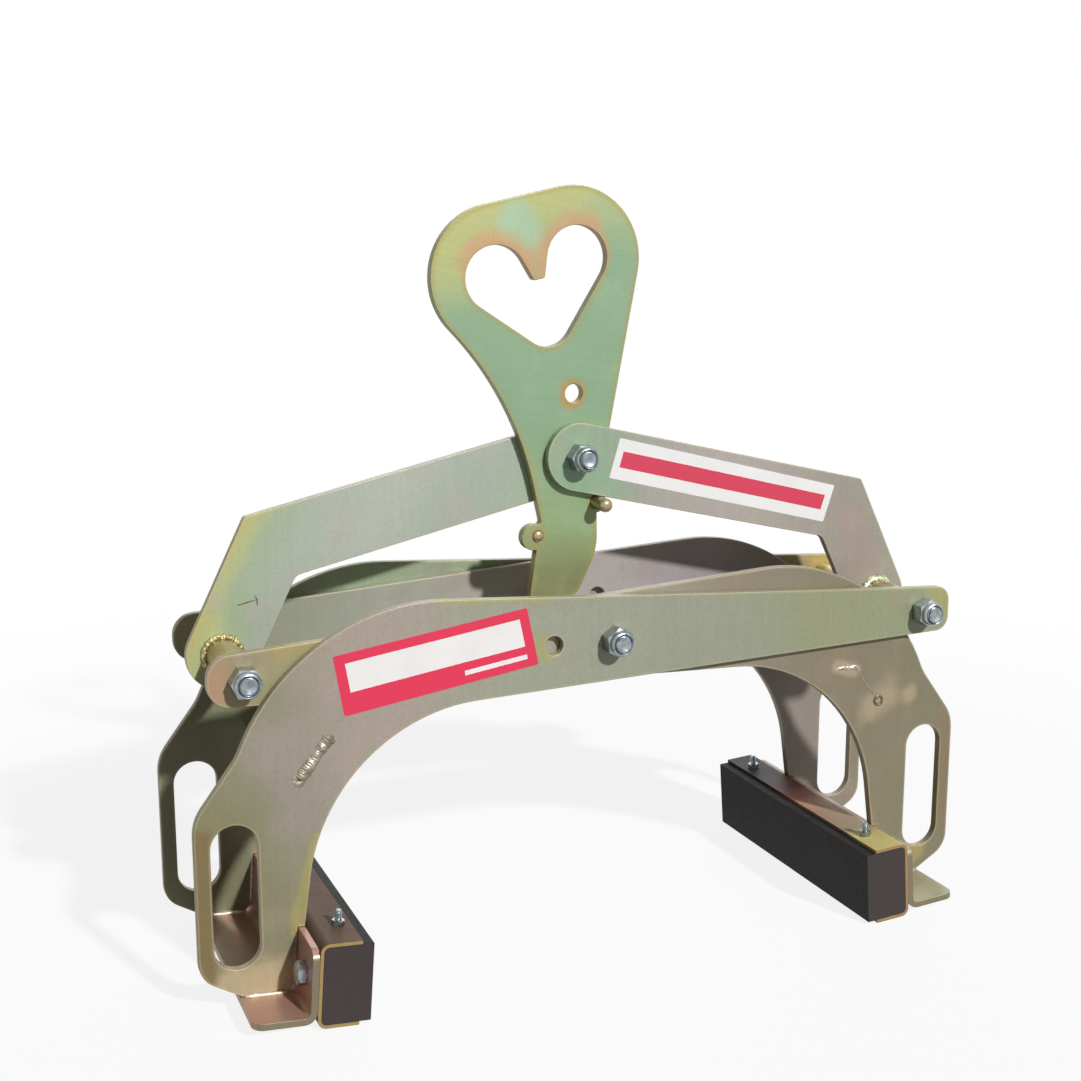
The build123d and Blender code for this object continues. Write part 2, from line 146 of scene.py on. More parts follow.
def passivated_zinc(name, field, drift, stain, tints=(), seed=0.0, rough=0.43, mottle=0.45, shine=0.18,
                    ends=None, roll=0.0, gloss=0.5):
    """Yellow passivated zinc: a ramp along the drift, with tints that fade in where an attribute is low."""
    material, add, shader, coords = new_material("yellow_passivated_" + name)
    clouds, patches = (
        add(NOISE, {"Vector": coords, "W": w, "Scale": 1 / size, "Detail": detail}, noise_dimensions="4D")
        for w, size, detail in ((seed, CLOUD, 3.0), (seed + 7, PATCH, 4.0)))
    direction, start, spread = drift
    along = add("ShaderNodeVectorMath", {0: coords, 1: direction}, out="Value", operation="DOT_PRODUCT")
    level = add(MATH, {0: clouds, 1: spread, 2: start - spread / 2}, operation="MULTIPLY_ADD")
    level = add(MATH, {0: along, 1: level}, operation="ADD")
    colour = add("ShaderNodeValToRGB", {"Fac": level}, stops=field)
    layers = [(add(RANGE, {0: patches, 1: 0.5, 2: 0.68, 3: 0.0, 4: mottle}, **SOFT), stain)]
    for attribute, code, width, strength in tints:
        far = add("ShaderNodeAttribute", out="Fac", attribute_name=attribute)
        ragged = add(MATH, {0: patches, 1: -1.2 * width, 2: 0.6 * width}, operation="MULTIPLY_ADD")
        far = add(MATH, {0: far, 1: ragged}, operation="ADD")
        near = add(RANGE, {0: far, 1: 0.3 * width, 2: width, 3: strength, 4: 0.0}, **SOFT)
        layers.append((near, code))
    if ends:
        layers.append((facing_y(add, 0.5, 0.9), ends))
    for share, code in layers:
        colour = add(MIX, {0: share, 6: colour, 7: srgb(code)}, **COLOURS)
    grain = add(NOISE, {"Vector": coords, "Scale": 1 / GRAIN, "Detail": 2.0})
    rolled = add("ShaderNodeMapping", {"Vector": coords, "Rotation": (0.0, roll, 0.0)})
    rolled = add("ShaderNodeMapping", {"Vector": rolled, "Scale": (1.0, 1.0, 0.06)})
    streak = add(NOISE, {"Vector": rolled, "Scale": 1 / STREAK, "Detail": 1.0})
    for noise, dark, light in ((grain, 0.93, 1.06), (streak, 0.975, 1.02)):
        shade = add(RANGE, {0: noise, **MOST, 3: dark, 4: light})
        colour = add(MIX, {0: 1.0, 6: colour, 7: shade}, blend_type="MULTIPLY", **COLOURS)
    feed(shader, {
        "Base Color": colour, "Metallic": shine, "Specular IOR Level": gloss,
        "Roughness": add(RANGE, {0: patches, **MOST, 3: rough - 0.05, 4: rough + 0.08}),
        "Normal": add("ShaderNodeBump", {"Strength": 0.12, "Distance": 0.1 * MM, "Height": grain})})
    return material


print("clouds, patches, streaks and grain in mm", [round(v / MM, 1) for v in (CLOUD, PATCH, STREAK, GRAIN)])

# %% [markdown]
# ## A finish for each plate
# No two plates come out of the dip alike. Each finish has its colours along the drift, the drift itself (its
# slope per metre, its start and how far the clouds push it), the colour of its stains, and its tints: the
# attribute that each follows, its colour, how far it reaches and how strong it is.

# %% Finishes of the plates
EDGE = ("rim", "c4b794", 2.2 * MM, 0.3)
lifting_finish = passivated_zinc(
    "lifting_plate",
    {0.0: "868961", 0.06: "8a9467", 0.17: "8fa679", 0.4: "88a584", 0.66: "8aa785", 0.84: "b5b87a",
     1.0: "c6bf7b"},
    ((-0.55, 0.0, 2.4), -0.79, 0.35), "96ae8b",
    [("rim", "a9944f", 6 * MM, 0.45), ("eye", "c69a74", 20 * MM, 0.75), ("teal", "a3c3a7", 1.0, 0.8),
     ("gold", "b08a46", 1.0, 0.95)], seed=3.0, roll=radians(78))
right_link_finish = passivated_zinc(
    "right_link", {0.12: "8ba788", 0.3: "a5a298", 0.5: "ada59e", 0.8: "9d958a", 1.0: "9a9a84"},
    ((2.2, 0.0, 0.0), 0.15, 0.35), "aaa595", [("rose", "a98f88", 1.0, 0.4), EDGE], seed=11.0)
left_link_finish = passivated_zinc(
    "left_link",
    {0.0: "a2b396", 0.3: "a3ad9e", 0.55: "b0b7aa", 0.74: "aab3a4", 0.86: "a2b194", 0.91: "b2b883",
     0.96: "c2b26c", 1.0: "c7a862"},
    ((-3.21, 0.0, 1.571), -0.684, 0.16), "b1aaa3", [EDGE], seed=17.0, mottle=0.6)
outer_arm_finish = passivated_zinc(
    "outer_arm",
    {0.0: "85815f", 0.06: "8e8a72", 0.17: "a89b90", 0.34: "9c9f8b", 0.62: "979a86", 0.8: "929674",
     1.0: "93997a"},
    ((1.35, 0.0, 0.15), 0.45, 0.22), "9b917a",
    # The rose tint, at the foot of the leg, is film tint lightened as a painted reflection of the sole.
    [("grey", "9e938c", 1.0, 0.6), ("gold", "aaa456", 1.0, 0.55), ("rose", "beac8a", 1.0, 0.75),
     ("brown", "7c6a44", 1.0, 0.9), EDGE], seed=23.0)
outer_rear_finish = passivated_zinc(
    "outer_rear_arm",
    # The darkest stop, on the left leg, is darker than that leg's metal in light: painted shade.
    {0.0: "7f7e62", 0.24: "93a184", 0.4: "97a488", 0.52: "a29699", 0.82: "a0948f", 0.92: "b39e60",
     1.0: "b5a064"},
    ((1.35, 0.0, 0.15), 0.45, 0.12), "8f8272", [EDGE], seed=27.0)
inner_arm_finish = passivated_zinc(
    "inner_arm",
    {0.0: "9c8e68", 0.2: "979e84", 0.45: "a09c8c", 0.72: "8c8170", 0.86: "827a63", 1.0: "7e7a60"},
    ((1.35, 0.0, 0.1), 0.47, 0.25), "92816b",
    [("gold", "a8985e", 1.0, 0.7), ("rose", "b18d74", 1.0, 0.8), ("brown", "87745a", 1.0, 0.7),
     ("scorch", "ae9c80", 1.0, 0.8), EDGE], seed=31.0)
inner_rear_finish = passivated_zinc(
    "inner_rear_arm",
    {0.0: "8d8a6a", 0.18: "979b87", 0.3: "a3a496", 0.45: "a8a29c", 0.6: "aea7a4", 0.74: "a39a9f",
     0.88: "928780", 1.0: "897d6a"},
    ((1.35, 0.0, 0.1), 0.47, 0.14), "9a8d80", [EDGE], seed=37.0)
print("plate finishes", [m.name for m in bpy.data.materials if m.name.startswith("yellow")])

# %% [markdown]
# ## Feet, channels and pins
# The folded and turned pieces took the same dip. The feet went rose and the left channel is dark brown,
# darker towards the back. The right channel runs from a bright straw and rose at the front, a painted
# reflection of the bright surroundings, to nearly black at the back, a painted shadow and reflection of the
# dark leg behind it. The pins are smoother, so they shine more.

# %% Finishes of the folded and turned pieces
foot_finish = passivated_zinc(
    "foot", {0.0: "a8a585", 0.36: "b09f80", 0.52: "b5937f", 0.68: "bc7d7b", 1.0: "b0707a"},
    ((-0.8, 0.35, 2.0), 0.33, 1.0), "b3aa92", seed=41.0, rough=0.36, mottle=0.6, shine=0.35, ends="837860")
left_channel_finish = passivated_zinc(
    "left_channel", {0.0: "655243", 0.4: "5a473d", 1.0: "4f4138"},
    ((0.0, 2.6, 0.0), 0.42, 0.45), "8a6259", seed=47.0, rough=0.6, shine=0.05, ends="a78e5a", gloss=0.2)
# Painted light: the straw and rose front is a painted reflection, the near-black back a painted shadow.
right_channel_painted_light = passivated_zinc(
    "right_channel",
    {0.0: "dccf88", 0.13: "d6c884", 0.2: "9c8c6e", 0.32: "a98a70", 0.4: "cc9c84", 0.46: "b67a68",
     0.53: "6b483e", 0.6: "2e2c2a", 1.0: "292928"},
    ((0.0, 2.6, 0.0), 0.42, 0.1), "a07a66", seed=49.0, rough=0.5, mottle=0.25, shine=0.1, ends="a5835f",
    gloss=0.2)
pin_finish = passivated_zinc(
    "pins_and_sleeves", {0.0: "bcab78", 0.5: "a99a78", 1.0: "c1b384"},
    ((0.0, 3.0, 0.0), 0.5, 0.6), "8f7a62", seed=53.0, rough=0.28, shine=0.7)
spreader_finish = passivated_zinc(
    "spreader", {0.0: "8f8a6c", 1.0: "a0936f"}, ((0.0, 2.0, 0.0), 0.5, 0.6), "9b8669", seed=59.0)
print("passivated finishes", len(bpy.data.materials))

# %% [markdown]
# ## Bright zinc, rubber, weld metal and vinyl
# The bolts and nuts are bright zinc: a clear bluish film on a smoother metal, so they are more mirror-like
# than the plates. The pads are moulded black rubber, dull on the faces and browner where the bar was cut to
# length. Weld beads took the same dip as the plates and came out brighter. The two blank labels are printed
# vinyl.

# %% Other finishes
HAMMER = 6 * MM  # uneven patches in the bright zinc
BEAD_PATCH = 7 * MM  # patches of film on a weld


def mottled(name, size, detail, stops, dull, metallic):
    """Soft patches of close tones. Dull is the roughness of the dark and of the light patches."""
    material, add, shader, coords = new_material(name)
    patch = add(NOISE, {"Vector": coords, "Scale": 1 / size, "Detail": detail})
    feed(shader, {
        "Base Color": add("ShaderNodeValToRGB", {"Fac": patch}, stops=stops), "Metallic": metallic,
        "Roughness": add(RANGE, {0: patch, **MOST, 3: dull[0], 4: dull[1]})})
    return material


def rubber(name):
    """Moulded black rubber: matt, with a fine grain, and browner and scored on the two cut ends."""
    material, add, shader, coords = new_material(name)
    tilted = add("ShaderNodeMapping", {
        "Vector": coords, "Rotation": (0.0, radians(25), 0.0), "Scale": (0.25, 1.0, 1.0)})
    grain, dust, saw = (
        add(NOISE, {"Vector": place, "Scale": 1 / (size * MM), "Detail": detail})
        for place, size, detail in ((coords, 2, 4.0), (coords, 60, 3.0), (tilted, 2.5, 3.0)))
    moulded = add("ShaderNodeValToRGB", {"Fac": dust}, stops={0.35: "171514", 0.7: "221d1a"})
    cut = add("ShaderNodeValToRGB", {"Fac": saw}, stops={0.25: "3a3332", 0.75: "3f3736"})
    end = facing_y(add, 0.7, 0.95)
    scored = add(MATH, {0: end, 1: 0.3}, operation="MULTIPLY")
    height = add(MATH, {0: saw, 1: scored, 2: grain}, operation="MULTIPLY_ADD")
    feed(shader, {
        "Base Color": add(MIX, {0: end, 6: moulded, 7: cut}, **COLOURS), "Specular IOR Level": 0.3,
        "Roughness": add(RANGE, {0: grain, **MOST, 3: 0.6, 4: 0.78}),
        "Normal": add("ShaderNodeBump", {"Strength": 0.2, "Distance": 0.2 * MM, "Height": height})})
    return material


def vinyl(name, ground, print_code, bands):
    """Printed vinyl with plain bands, each given by its edges across the label's own UV map."""
    material, add, shader, coords = new_material(name)
    across = add("ShaderNodeSeparateXYZ", {0: add("ShaderNodeTexCoord", out="UV")}).node.outputs
    colour = srgb(ground)
    for left, right, low, high in bands:
        wide, tall = (
            add(MATH, {0: across[axis], 1: (near + far) / 2, 2: (far - near) / 2}, operation="COMPARE")
            for axis, near, far in (("X", left, right), ("Y", low, high)))
        box = add(MATH, {0: wide, 1: tall}, operation="MULTIPLY")
        colour = add(MIX, {0: box, 6: colour, 7: srgb(print_code)}, **COLOURS)
    dirt = add(NOISE, {"Vector": coords, "Scale": 1 / (25 * MM), "Detail": 5.0})
    shade = add(RANGE, {0: dirt, 1: 0.35, 2: 0.7, 3: 1.0, 4: 0.94})
    feed(shader, {
        "Base Color": add(MIX, {0: 1.0, 6: colour, 7: shade}, blend_type="MULTIPLY", **COLOURS),
        "Roughness": add(RANGE, {0: dirt, **MOST, 3: 0.34, 4: 0.46})})
    return material


zinc_finish, thread_finish, nylon_finish = (
    mottled(name, HAMMER, 3.0, {0.3: dark, 0.7: light}, (rough, rough + 0.14), metallic)
    for name, dark, light, rough, metallic in (
        ("bright_zinc_plate", "8b9499", "aab1b6", 0.2, 1.0),
        ("bright_zinc_thread", "868f93", "a7aeb2", 0.24, 1.0),
        ("nylon_lock_ring", "5c6472", "77808f", 0.4, 0.0)))
weld_finish, plug_finish, pale_finish, sole_finish, smear_finish, mark_finish = (
    mottled(name, BEAD_PATCH, 4.0, {0.3: dark, 0.5: middle, 0.68: light}, (0.5, 0.3), 0.6)
    for name, dark, middle, light in (
        ("passivated_weld_metal", "8c8055", "b3a97a", "d6d0b0"),
        ("passivated_plug_weld", "7d7864", "958f7c", "aca693"),
        ("passivated_pale_weld", "939873", "bcc4a0", "dfe4cb"),
        ("passivated_sole_weld", "ad9c88", "c4b7a6", "d6cdc0"),
        ("passivated_weld_smear", "a09684", "b5ac9c", "c9c2b4"),
        ("scribed_mark", "4d4b40", "5f5c4f", "77735f")))
rubber_finish = rubber("black_moulded_rubber")
red_label_finish = vinyl(
    "red_printed_vinyl", "e63657", "f4f1ef", [(0.05, 0.95, 0.36, 0.84), (0.62, 0.95, 0.14, 0.22)])
white_label_finish = vinyl("white_printed_vinyl", "f3f1ef", "d8405a", [(0.03, 0.97, 0.3, 0.7)])
print("materials", len(bpy.data.materials))

# %% [markdown]
# ## Showing a piece
# A finished mesh becomes an object at the origin, takes one material, and rides on the body of a CAD node,
# which it may stand for. The other helpers make, open and write back meshes, and read the mesh that
# modifiers make.

# %% Piece helpers
SAME = 0.001 * MM  # points closer than this are one point


def show(name, mesh, material, like, stands=True):
    """Shows a finished mesh as a piece on the body of a CAD node, which it may stand for."""
    mesh.name = name
    mesh.materials.clear()
    mesh.materials.append(material)
    mesh.polygons.foreach_set("material_index", np.zeros(len(mesh.polygons), np.int32))
    piece = bpy.data.objects.new(name, mesh)
    scene.collection.objects.link(piece)
    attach(piece, body_of[like])
    if stands:
        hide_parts(like)
    print(name, "on", body_of[like], "faces", len(mesh.polygons))


def new_mesh(name, points, edges=(), faces=()):
    """Mesh from its points, edges and faces."""
    mesh = bpy.data.meshes.new(name)
    mesh.from_pydata([tuple(p) for p in points], edges, faces)
    return mesh


def merged(mesh):
    """A mesh opened for editing, with the points joined that share a place."""
    shape = bmesh.new()
    shape.from_mesh(mesh)
    bmesh.ops.remove_doubles(shape, verts=shape.verts, dist=SAME)
    return shape


def settle(shape, mesh):
    """Writes an edited shape back to its mesh."""
    shape.to_mesh(mesh)
    shape.free()


def outward(mesh):
    """Joins a mesh's points that share a place and turns its faces outward."""
    shape = merged(mesh)
    bmesh.ops.recalc_face_normals(shape, faces=shape.faces)
    settle(shape, mesh)


def finished(holder):
    """Plain mesh that an object's modifiers make. The object goes."""
    scene.collection.objects.link(holder)
    bpy.context.view_layer.update()
    made = bpy.data.meshes.new_from_object(holder.evaluated_get(bpy.context.evaluated_depsgraph_get()))
    holder.modifiers.clear()
    bpy.data.objects.remove(holder)
    return made


print("nodes to dress", len(slot_of))

# %% [markdown]
# ## Flat plates
# The seven flat plates are cut from sheet, and the dip leaves their edges a little round, so each edge
# catches a thin line of light. A Bevel modifier could do that, but the finish also needs to know how far
# each point is from an edge, and the CAD faces are long thin triangles with no points inside. So each plate
# is built again from its own outline, which is read from the CAD node's front face.

# %% Outlines of the plates
STEP = 6 * MM  # spacing of points on a face


def evenly(ring):
    """A loop with its long sides cut into steps."""
    points = []
    for here, there in zip(ring, np.roll(ring, -1, 0)):
        count = max(1, int(np.ceil(np.linalg.norm(there - here) / STEP)))
        points += [here + (there - here) * k / count for k in range(count)]
    return np.array(points)


def welded_shut(ring):
    """Whether a loop is the slot of a spreader's tab, which the plug weld fills and hides."""
    middle = (ring.min(0) + ring.max(0)) / 2
    tabs = [np.mean([corner.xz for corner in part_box(jaw + "_spreader")], 0) for jaw in ("outer", "inner")]
    return min(np.abs(middle - tab).max() for tab in tabs) < 5 * MM


def outline(name):
    """Closed loops of a plate's front face in X and Z, longest first, with the metal on their left."""
    shape = merged(frame["nodes"][name].data)
    front = min(v.co.y for v in shape.verts)
    back = max(v.co.y for v in shape.verts)
    flat = [face for face in shape.faces if max(v.co.y for v in face.verts) < front + SAME]
    known = set(flat)
    follow = {}
    for corner in (corner for face in flat for corner in face.loops):
        if len(known.intersection(corner.edge.link_faces)) == 1:
            follow[corner.vert] = corner.link_loop_next.vert
    loops = []
    while follow:
        first, here = follow.popitem()
        ring = [first]
        while here != first:
            ring.append(here)
            here = follow.pop(here)
        loops.append(evenly(np.array([v.co.xz for v in ring])))
    shape.free()
    loops = [ring for ring in loops if not welded_shut(ring)]
    return sorted(loops, key=len, reverse=True), front, back


print("loops of the lifting plate", [len(ring) for ring in outline("lifting_plate")[0]])

# %% [markdown]
# ## Points inside a plate
# The faces are filled by a constrained triangulation over the outline and a grid of points every few
# millimetres, with one more row of points close to the edge. The tints of the film are kept on these points.

# %% Points and triangles of a face
ROW = 0.866 * STEP  # rows of a grid of even triangles
BAND = 3 * MM  # a row of points this far from the edge lets a tint follow it evenly
INSIDE = 1  # the triangulation gives triangles inside the outline
TINY = 1e-12  # keeps a side of no length from dividing by zero


def inside(points, loops):
    """Whether points lie in the metal."""
    odd = np.zeros(len(points), bool)
    x, z = points[:, :1], points[:, 1:]
    for ring in loops:
        a, b = ring, np.roll(ring, -1, 0)
        spans = (a[:, 1] > z) != (b[:, 1] > z)
        rise = np.where(a[:, 1] == b[:, 1], 1.0, b[:, 1] - a[:, 1])
        odd ^= (spans & (x < a[:, 0] + (z - a[:, 1]) * (b[:, 0] - a[:, 0]) / rise)).sum(1) % 2 == 1
    return odd


def distance(points, loops):
    """Distance of points from the nearest loop."""
    best = np.full(len(points), np.inf)
    for ring in loops:
        along = np.roll(ring, -1, 0) - ring
        share = ((points[:, None] - ring) * along).sum(2) / np.maximum((along ** 2).sum(1), TINY)
        gap = points[:, None] - ring - np.clip(share, 0, 1)[..., None] * along
        best = np.minimum(best, np.sqrt((gap ** 2).sum(2)).min(1))
    return best


def fill(loops, rims, band, after):
    """Points inside the metal, and triangles over the innermost rim loops and those points."""
    low, high = loops[0].min(0), loops[0].max(0)
    rows = enumerate(np.arange(low[1], high[1], ROW))
    grid = np.array([(x + STEP / 2 * (k % 2), z) for k, z in rows for x in np.arange(low[0], high[0], STEP)])
    grid = grid[inside(grid, loops)]
    grid = grid[distance(grid, loops) > BAND + 0.5 * STEP]
    band = band[inside(band, loops)]
    grid = np.concatenate([band[distance(band, loops) > 0.9 * BAND], grid])
    corners = np.concatenate(rims + [grid])
    edges = list(enumerate(after.tolist()))
    _, _, faces, sources, _, _ = delaunay_2d_cdt([Vector(p) for p in corners], edges, [], INSIDE, 1e-9)
    faces = np.array([[sources[v][0] for v in face] for face in faces])
    return grid, faces[inside(corners[faces].mean(1), rims)]


print("points every", STEP / MM, "mm and a row", BAND / MM, "mm from the edge")

# %% [markdown]
# ## One plate
# A plate has three loops on each side that turn its edge through a quarter circle, a flat wall between them,
# and a filled face at the front and the back. Its normals are set one by one, so that the faces stay flat and
# the edge shades as one round.

# %% Plate with rounded edges
EDGE_R = 0.8 * MM  # rounding of a cut edge
RIM = [(1.0, 0.0, 1.0), (0.29, 0.29, 0.7), (0.0, 1.0, 0.0)]  # its loops: inset and depth in radii, facing


def inward(ring):
    """Directions into the metal at a loop's points, longer at corners so that an offset keeps its width."""
    ahead = np.roll(ring, -1, 0) - ring
    ahead /= np.linalg.norm(ahead, axis=1)[:, None]
    side = np.stack([-ahead[:, 1], ahead[:, 0]], 1)
    both = side + np.roll(side, 1, 0)
    return both * (2 / (both ** 2).sum(1))[:, None]


def set_field(mesh, name, values):
    """Keeps one number for each point of a mesh, for its material to read."""
    mesh.attributes.new(name, "FLOAT", "POINT").data.foreach_set("value", values.astype(np.float32))


def flat_plate(name):
    """Mesh of a plate with rounded edges, and the distance from the nearest edge as its attribute rim."""
    loops, front, back = outline(name)
    into = [inward(ring) for ring in loops]

    def moved(by):
        return [ring + way * by for ring, way in zip(loops, into)]

    starts = np.cumsum([0] + [len(ring) for ring in loops])
    count = starts[-1]
    here = np.arange(count)
    after = np.concatenate([np.roll(here[a:b], -1) for a, b in zip(starts, starts[1:])])
    grid, triangles = fill(loops, moved(EDGE_R), np.concatenate(moved(BAND)), after)
    levels = [(inset, front + depth * EDGE_R, -facing) for inset, depth, facing in RIM]
    levels += [(inset, back - depth * EDGE_R, facing) for inset, depth, facing in reversed(RIM)]
    points, normals, faces = [], [], []
    for inset, y, facing in levels:
        points.append(np.insert(np.concatenate(moved(EDGE_R * inset)), 1, y, 1))
        normals.append(np.insert(-np.concatenate(into) * (1 - inset), 1, facing, 1))
    last = (len(levels) - 1) * count
    for base in range(0, last, count):
        faces += (np.stack([here, here + count, after + count, after], 1) + base).tolist()
    for y, facing, base in ((front, -1, 0), (back, 1, last)):
        points.append(np.insert(grid, 1, y, 1))
        normals.append(np.tile([0.0, facing, 0.0], (len(grid), 1)))
        numbered = triangles + np.where(triangles < count, base, last + len(grid) * (facing > 0))
        faces += numbered[:, ::-facing].tolist()
    mesh = new_mesh(name, np.concatenate(points), faces=faces)
    mesh.shade_smooth()
    normals = np.concatenate(normals)
    mesh.normals_split_custom_set_from_vertices((normals / np.linalg.norm(normals, axis=1)[:, None]).tolist())
    set_field(mesh, "rim", np.concatenate([np.zeros(last + count), np.tile(distance(grid, loops), 2)]))
    return mesh, loops


print("edge radius in mm", EDGE_R / MM)

# %% [markdown]
# ## Tints of the film
# Hands, weld heat and the way a plate hung in the dip leave spots of another tint: gold by the pivot, rose
# and scorched by the welds, brown along the outer legs. The rose at the foot of the front outer leg is film
# tint made lighter as a painted reflection of the sole. Round the eye the film is rose gold, and it fades
# below the eye and at its right.

# %% Plates in place
# A tint's lines, each from one point to another in X and Z with its reach, in mm.
MARKS = {
    "outer_arm": {
        "grey": [((-303, 229), (-290, 180), 45)],
        "gold": [((-277, 150), (-289, 112), 8), ((-290, 108), (-298, 68), 9), ((-165, 349), (-70, 344), 9),
                 ((354, 314), (358, 290), 15), ((-69, 298), (-66, 290), 14)],
        # Film tint at the foot of the leg, lightened as a painted reflection of the sole.
        "rose": [((-360, 26), (-305, 28), 26)],
        "brown": [((-376, 165), (-377, 40), 15)],
    },
    "inner_arm": {
        "gold": [((-300, 316), (-255, 326), 17), ((332, 32), (345, 38), 16)],
        "rose": [((-362, 278), (-357, 300), 18)],
        "brown": [((374, 180), (377, 60), 13)],
        "scorch": [((329, 206), (329, 206), 14), ((284, 198), (304, 208), 24), ((244, 242), (264, 236), 9)],
    },
    "lifting_plate": {
        "teal": [((-58, 669), (-48, 662), 27)],
        "gold": [((-2.6, 509.4), (-2.6, 509.4), 19)],
    },
    "right_link": {"rose": [((318, 330), (300, 370), 26)]},
}
plates = {
    "outer_arm_front": outer_arm_finish, "outer_arm_rear": outer_rear_finish,
    "inner_arm_front": inner_arm_finish, "inner_arm_rear": inner_rear_finish,
    "left_link": left_link_finish, "right_link": right_link_finish, "lifting_plate": lifting_finish,
}


def mark_field(points, marks):
    """Distance of points from the nearest mark, as a share of how far that mark reaches."""
    shares = [distance(points, [np.array(line) * MM]) / (reach * MM) for *line, reach in marks]
    return np.min(shares, 0)


for name, finish in plates.items():
    mesh, loops = flat_plate(name)
    spots = np.array([v.co.xz for v in mesh.vertices])
    if name == "lifting_plate":
        eye = loops[1]
        right, up = (spots - eye.mean(0)).T
        fade = 0.8 * np.clip(12 * MM - up, 0, None) + 0.6 * np.clip(right - 52 * MM, 0, None)
        set_field(mesh, "eye", distance(spots, [eye]) + fade)
    for tint, marks in MARKS.get(name.removesuffix("_front").removesuffix("_rear"), {}).items():
        set_field(mesh, tint, mark_field(spots, marks))
    show(name + "_cut", mesh, finish, name)

# %% [markdown]
# ## Folded and turned pieces
# Feet, channels, pads, sleeves and washers keep the CAD shape. A copy is merged, its flat faces are joined,
# and a Bevel modifier rounds the sharp edges, because a perfectly sharp edge never shows a highlight. The
# tabs of the spreaders end a millimetre lower, under their plug welds.


# %% Rounded copies of the CAD pieces
def rounded_copy(name, width):
    """Copy of a CAD node with its sharp edges rounded."""
    mesh = frame["nodes"][name].data.copy()
    shape = merged(mesh)
    bmesh.ops.dissolve_limit(shape, angle_limit=radians(1), verts=shape.verts, edges=shape.edges)
    if name.endswith("spreader"):
        tip = max(v.co.y for v in shape.verts)
        for vert in shape.verts:
            vert.co.y -= np.sign(vert.co.y) * MM * (abs(vert.co.y) > tip - 0.1 * MM)
    settle(shape, mesh)
    mesh.shade_smooth()
    holder = bpy.data.objects.new(name + "_holder", mesh)
    edges = holder.modifiers.new("edges", "BEVEL")
    edges.width = width
    edges.segments = 2
    edges.limit_method = "ANGLE"
    edges.angle_limit = radians(35)
    holder.modifiers.new("joined", "WELD").merge_threshold = 0.01 * MM
    holder.modifiers.new("flats", "WEIGHTED_NORMAL").weight = 100
    return finished(holder)


# How the names of such nodes end, their finish, and the width of their rounded edges in mm.
ROUNDED = {
    "spreader": (spreader_finish, 0.8), "link_sleeve": (pin_finish, 0.8),
    "left_pad_channel": (left_channel_finish, 0.5), "right_pad_channel": (right_channel_painted_light, 0.5),
    "spacer": (pin_finish, 0.5), "foot": (foot_finish, 1.0), "rubber_pad": (rubber_finish, 1.2),
    "washer": (zinc_finish, 0.5),
}
for ending, (finish, width) in ROUNDED.items():
    for name in (name for name in slot_of if name.endswith(ending)):
        show(name + "_rounded", rounded_copy(name, width * MM), finish, name)

# %% [markdown]
# ## Turned fasteners
# A nut or a bolt head is a six-sided bar turned on a lathe: the cone of the chamfer cuts the six corners and
# leaves curved scallops on the flats. The same rule makes it here: loops of points round an axis, whose
# radius follows a circle or a hexagon, and whose height drops with the cone where the hexagon stands out.

# %% Lathe for nuts, heads and pins
ROUND = 48  # points round a loop
CHAMFER = tan(radians(30))
SLOPE = {"round": 0.0, "hex": 0.0, "low": CHAMFER, "top": -CHAMFER}
FACE = 0.95  # where the cone meets the end face, as a share of half the flats


def turned_shape(name, loops):
    """Shape from loops of radius and height in mm, round ones or a hexagon's: hex, or its low or top rim."""
    turn = np.arange(ROUND) * 2 * pi / ROUND
    hexagon = 1 / np.cos((turn + pi / 6) % (pi / 3) - pi / 6)
    points = []
    for radius, height, kind in ((*loop, "round")[:3] for loop in loops):
        reach = radius * (np.ones(ROUND) if kind == "round" else hexagon)
        lift = height + (reach - FACE * radius) * SLOPE[kind]
        points.append(np.stack([reach * np.cos(turn), reach * np.sin(turn), lift], 1))
    last = (len(loops) - 1) * ROUND
    around = [(j, (j + 1) % ROUND) for j in range(ROUND)]
    faces = [(k + j, k + i, k + ROUND + i, k + ROUND + j) for k in range(0, last, ROUND) for j, i in around]
    if loops[0] != loops[-1]:
        faces += [tuple(range(ROUND))[::-1], tuple(range(last, last + ROUND))]
    mesh = new_mesh(name, np.concatenate(points) * MM, faces=faces)
    outward(mesh)
    mesh.shade_smooth()
    mesh.set_sharp_from_angle(angle=radians(28))
    return mesh


M16, M12, M6 = 16.0, 12.0, 6.0
nut_flat, nut_hex, nut_high, bore = 12.0, 14.5, 20.0, 8.1  # half the flats, heights, and the bore's radius
lock_nut = turned_shape("lock_nut", [
    (bore, 0.4), (11.4, 0.0), (nut_flat, 0.2, "low"), (nut_flat, nut_hex, "top"), (11.6, nut_hex),
    (11.5, nut_hex + 0.5), (11.45, nut_high - 2.6), (11.1, nut_high - 1.4), (10.4, nut_high - 0.4),
    (9.6, nut_high), (9.0, nut_high - 0.4), (bore, nut_high - 1.6), (bore, 0.4)])
lock_ring = turned_shape("lock_ring", [
    (8.05, nut_high - 2.2), (9.1, nut_high - 1.3), (8.9, nut_high - 0.7), (8.3, nut_high - 0.8),
    (8.05, nut_high - 2.2)])
screw_nut = turned_shape("screw_nut", [
    (3.05, 0.0), (5.0, 0.0, "low"), (5.0, 5.0, "top"), (4.6, 5.0), (3.4, 5.0), (3.05, 4.6), (3.05, 0.0)])
print("lock nut faces", len(lock_nut.polygons))

# %% [markdown]
# ## A thread that follows a helix
# The thread is a ridge on a spiral, so Geometry Nodes make it: a Spiral curve, a small diamond swept along
# it, and the turned bolt joined in. Its diameter, pitch and place are inputs, so M16 and M6 come from one
# tree.


